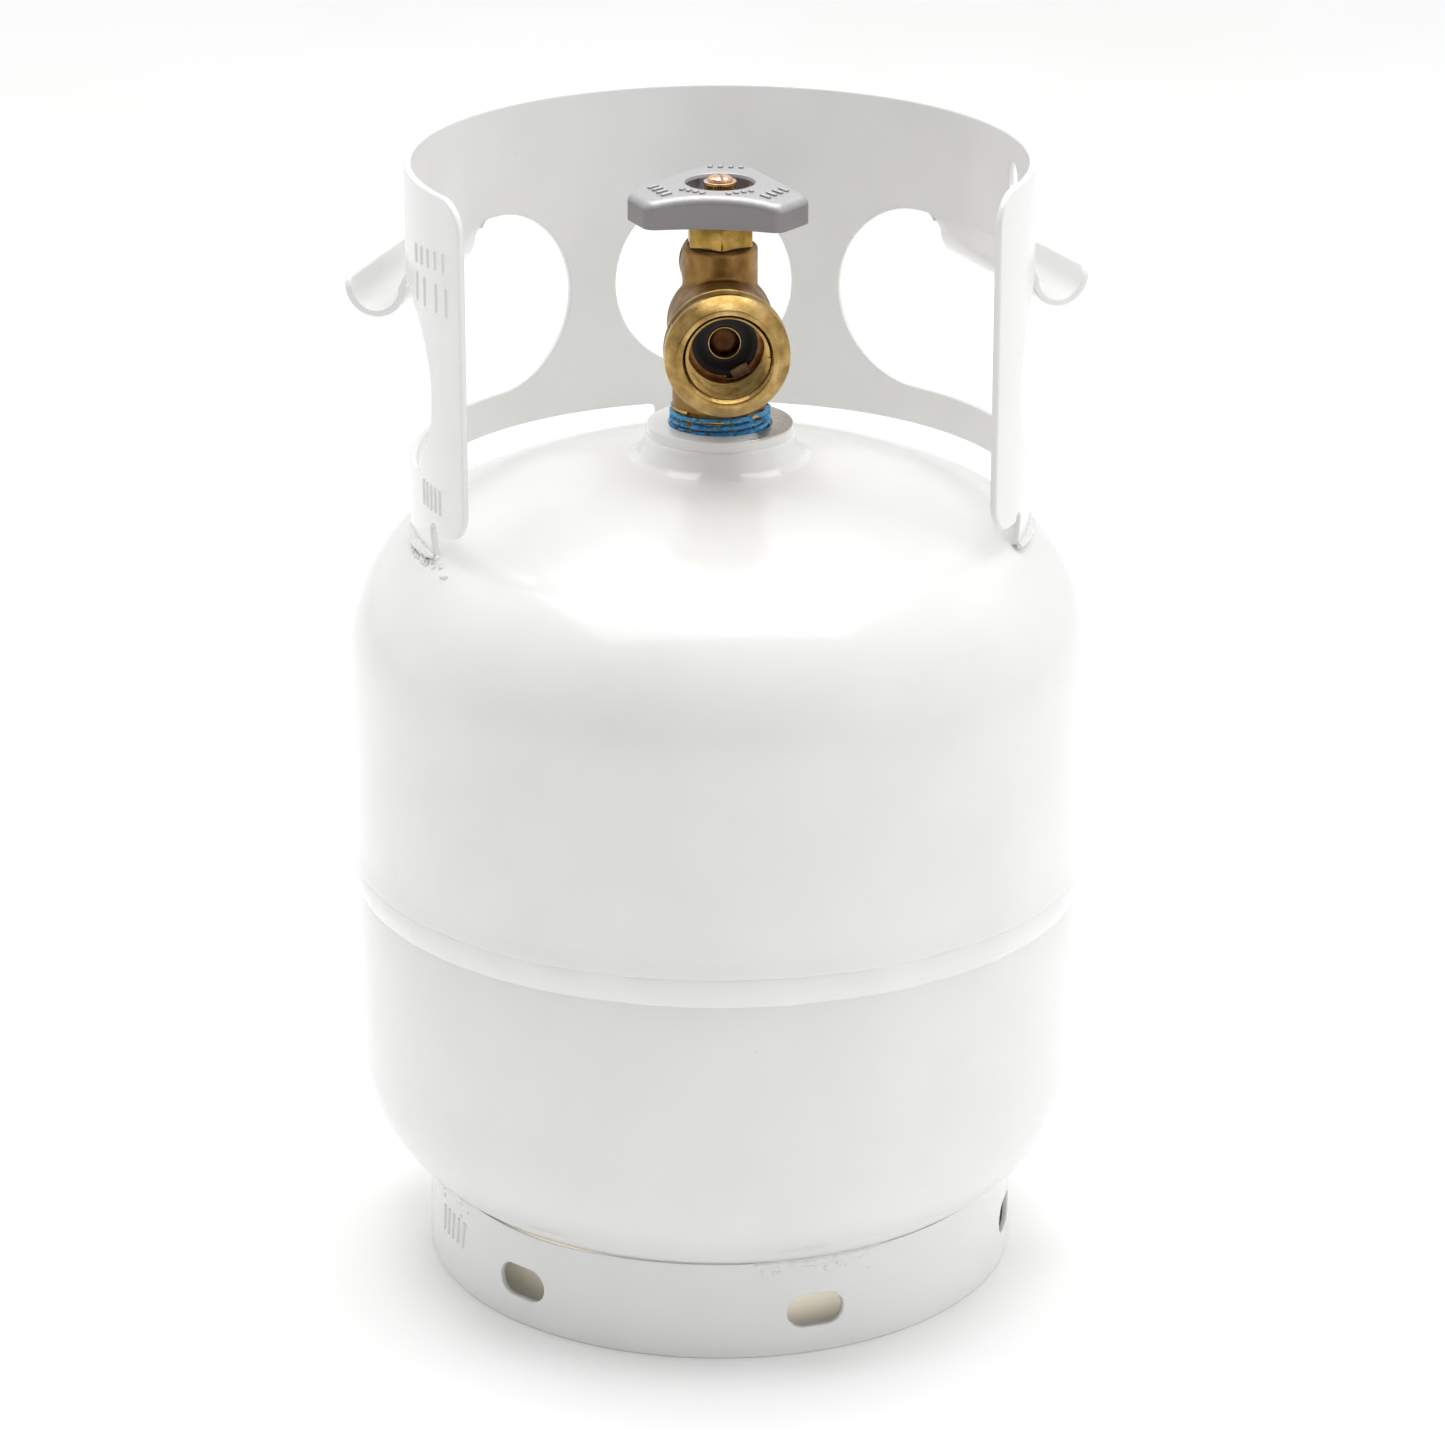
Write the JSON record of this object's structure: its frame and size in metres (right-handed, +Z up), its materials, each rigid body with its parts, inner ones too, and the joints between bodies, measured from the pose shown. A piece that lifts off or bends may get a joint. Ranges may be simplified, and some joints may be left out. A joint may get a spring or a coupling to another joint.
{
  "type": "propane tank",
  "caption": "Small refillable steel gas cylinder with a guard collar, foot ring, hand lips and a brass handwheel valve with an inner overfill float.",
  "frame": {"origin": "centre of the foot ring on the floor", "axes": "+Z up along the cylinder's axis, the outlet and the collar's opening face -Y, +X is to the right seen from the front"},
  "size_m": [0.2052, 0.2052, 0.3144],
  "materials": {
    "white_paint": "gloss powder coat",
    "machined_steel": "turned",
    "forged_brass": "shot blasted and machined",
    "turned_brass": "machined",
    "blue_sealant": "dried thread sealant",
    "black_rubber": "moulded",
    "spring_steel": "drawn wire",
    "green_plastic": "moulded",
    "acetal": "moulded",
    "cast_aluminium": "die cast",
    "yellow_zinc": "zinc plated and passivated"
  },
  "bodies": {
    "cylinder": {"upper_shell": "white_paint", "lower_shell": "white_paint", "girth_weld": "white_paint", "valve_boss": "machined_steel", "boss_weld": "white_paint", "collar": "white_paint", "collar_welds": "white_paint", "foot_ring": "white_paint", "foot_ring_welds": "white_paint", "valve_body": "forged_brass", "thread_sealant": "blue_sealant", "bonnet_nut": "turned_brass", "outlet_seal": "black_rubber", "outlet_retaining_ring": "turned_brass", "check_tube": "turned_brass", "check_spring": "spring_steel", "relief_spring": "spring_steel", "relief_retainer": "turned_brass", "relief_cap": "green_plastic", "dip_tube": "turned_brass", "float_housing": "turned_brass", "float_pin": "spring_steel"},
    "handwheel": {"handwheel": "cast_aluminium", "handwheel_washer": "yellow_zinc", "handwheel_screw": "yellow_zinc", "valve_stem": "turned_brass", "stem_seals": "black_rubber"},
    "valve_plug": {"valve_plug": "turned_brass", "seat_disc": "black_rubber"},
    "outlet_check": {"check_poppet": "turned_brass"},
    "relief_valve": {"relief_poppet": "turned_brass", "relief_seal": "black_rubber"},
    "bleed_screw": {"bleed_screw": "turned_brass"},
    "overfill_float": {"float_arm": "acetal", "float_body": "acetal"},
    "overfill_shutter": {"shutter": "acetal"}
  },
  "joints": [
    {"name": "handwheel_turn", "type": "hinge", "parent": "cylinder", "child": "handwheel", "pos_m": [0, 0, 0.3], "axis": [0, 0, 1], "range_deg": [0, 540]},
    {"name": "plug_lift", "type": "slide", "parent": "handwheel", "child": "valve_plug", "axis": [0, 0, 1], "range_m": [0, 0.003]},
    {"name": "check_push", "type": "slide", "parent": "cylinder", "child": "outlet_check", "axis": [0, 1, 0], "range_m": [0, 0.003], "stiffness_N_per_m": 300, "springref_m": -0.002, "deforming": ["check_spring"]},
    {"name": "relief_lift", "type": "slide", "parent": "cylinder", "child": "relief_valve", "axis": [0, 1, 0], "range_m": [0, 0.0015], "stiffness_N_per_m": 1500, "springref_m": -0.004, "deforming": ["relief_spring"]},
    {"name": "bleed_turn", "type": "hinge", "parent": "cylinder", "child": "bleed_screw", "pos_m": [0.0146, 0, 0.262], "axis": [1, 0, 0], "range_deg": [0, 360]},
    {"name": "float_swing", "type": "hinge", "parent": "cylinder", "child": "overfill_float", "pos_m": [0, -0.005, 0.196], "axis": [-1, 0, 0], "range_deg": [0, 58]},
    {"name": "shutter_fall", "type": "slide", "parent": "cylinder", "child": "overfill_shutter", "axis": [0, 0, -1], "range_m": [0, 0.0041]}
  ],
  "couplings": [
    {"joint": "plug_lift", "follows": "handwheel_turn", "m_per_rad": 0.00031828},
    {"joint": "shutter_fall", "follows": "float_swing", "m_per_rad": 0.0039514}
  ]
}
